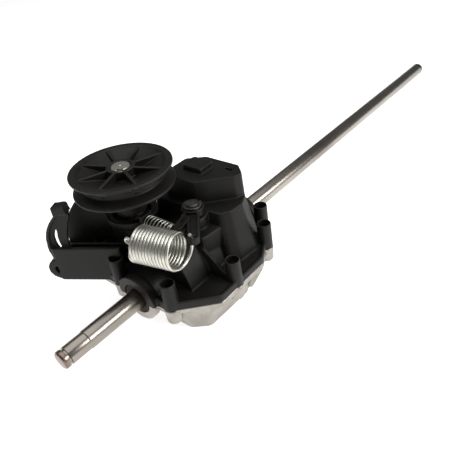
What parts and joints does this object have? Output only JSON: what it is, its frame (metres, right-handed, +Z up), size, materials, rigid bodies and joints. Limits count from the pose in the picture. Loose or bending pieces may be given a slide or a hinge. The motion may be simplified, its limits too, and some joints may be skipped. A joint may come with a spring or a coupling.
{
  "type": "mower drive gearbox",
  "caption": "Belt-driven worm gearbox on a long wheel axle, with a sliding cone clutch worked by a sprung cable lever.",
  "frame": {"origin": "on the axle's axis, at the middle of the worm wheel, straight below the lever side of the pulley shaft plane", "axes": "+X along the axle towards its long end, +Z up, parallel to the pulley shaft, +Y towards the pulley shaft"},
  "size_m": [0.496, 0.1134, 0.0941],
  "materials": {
    "black_nylon": "fine satin moulded glass-filled nylon",
    "pulley_nylon": "satin moulded nylon",
    "cast_aluminium": "bright tumbled die casting",
    "screw_steel": "zinc plated",
    "sintered_bronze": "oil-soaked sintered bronze",
    "brown_rubber": "matte nitrile",
    "bearing_steel": "ground",
    "ground_steel": "ground bar",
    "clip_steel": "oiled spring steel",
    "wheel_bronze": "machined bronze",
    "cone_aluminium": "turned",
    "lever_nylon": "satin moulded nylon",
    "spring_steel": "bright zinc plated wire",
    "spring_steel_fine": "bright wire"
  },
  "bodies": {
    "housing": {"upper_housing": "black_nylon", "lower_case": "cast_aluminium", "case_screw_1": "screw_steel", "case_screw_2": "screw_steel", "case_screw_3": "screw_steel", "case_screw_4": "screw_steel", "case_screw_5": "screw_steel", "case_screw_6": "screw_steel", "case_screw_7": "screw_steel", "case_screw_8": "screw_steel", "near_axle_bush": "sintered_bronze", "far_axle_bush": "sintered_bronze", "near_axle_seal": "brown_rubber", "far_axle_seal": "brown_rubber", "lever_shaft_seal": "brown_rubber", "input_bearing_outer_race": "bearing_steel", "input_shaft_seal": "brown_rubber", "worm_lower_bush": "sintered_bronze", "lever_return_spring": "spring_steel_fine"},
    "input": {"worm_shaft": "ground_steel", "pulley": "pulley_nylon", "pulley_key": "ground_steel", "pulley_circlip": "clip_steel", "input_bearing_inner_race": "bearing_steel", "input_bearing_balls": "bearing_steel"},
    "wheel": {"worm_wheel": "wheel_bronze"},
    "axle": {"axle": "ground_steel", "clutch_drive_pin": "ground_steel", "near_thrust_washer": "clip_steel", "far_thrust_washer": "clip_steel", "wheel_circlip": "clip_steel", "end_circlip": "clip_steel"},
    "cone": {"clutch_cone": "cone_aluminium"},
    "lever": {"clutch_lever": "lever_nylon", "lever_shaft": "ground_steel", "lever_circlip": "clip_steel"},
    "cable_spring": {"cable_spring": "spring_steel"}
  },
  "joints": [
    {"name": "axle_spin", "type": "hinge", "parent": "housing", "child": "axle", "pos_m": [0, 0, 0], "axis": [1, 0, 0], "continuous": true},
    {"name": "wheel_spin", "type": "hinge", "parent": "housing", "child": "wheel", "pos_m": [0, 0, 0], "axis": [1, 0, 0], "continuous": true},
    {"name": "input_spin", "type": "hinge", "parent": "housing", "child": "input", "pos_m": [0, 0.03, 0], "axis": [0, 0, 1], "continuous": true},
    {"name": "cone_slide", "type": "slide", "parent": "axle", "child": "cone", "axis": [1, 0, 0], "range_m": [-0.00171, 0]},
    {"name": "clutch_lever", "type": "hinge", "parent": "housing", "child": "lever", "pos_m": [0.0155, -0.009, 0.036], "axis": [0, 0, 1], "range_deg": [-20, 0], "stiffness_Nm_per_rad": 0.6, "springref_deg": 5.73, "deforming": ["lever_return_spring"]},
    {"name": "cable_spring_swing", "type": "hinge", "parent": "lever", "child": "cable_spring", "pos_m": [-0.00684, -0.0295, 0.037], "axis": [0, 0, 1], "range_deg": [0, 20]}
  ],
  "couplings": [
    {"joint": "input_spin", "follows": "wheel_spin", "ratio": -15},
    {"joint": "cone_slide", "follows": "clutch_lever", "m_per_rad": 0.0048991},
    {"joint": "cable_spring_swing", "follows": "clutch_lever", "ratio": -1}
  ]
}
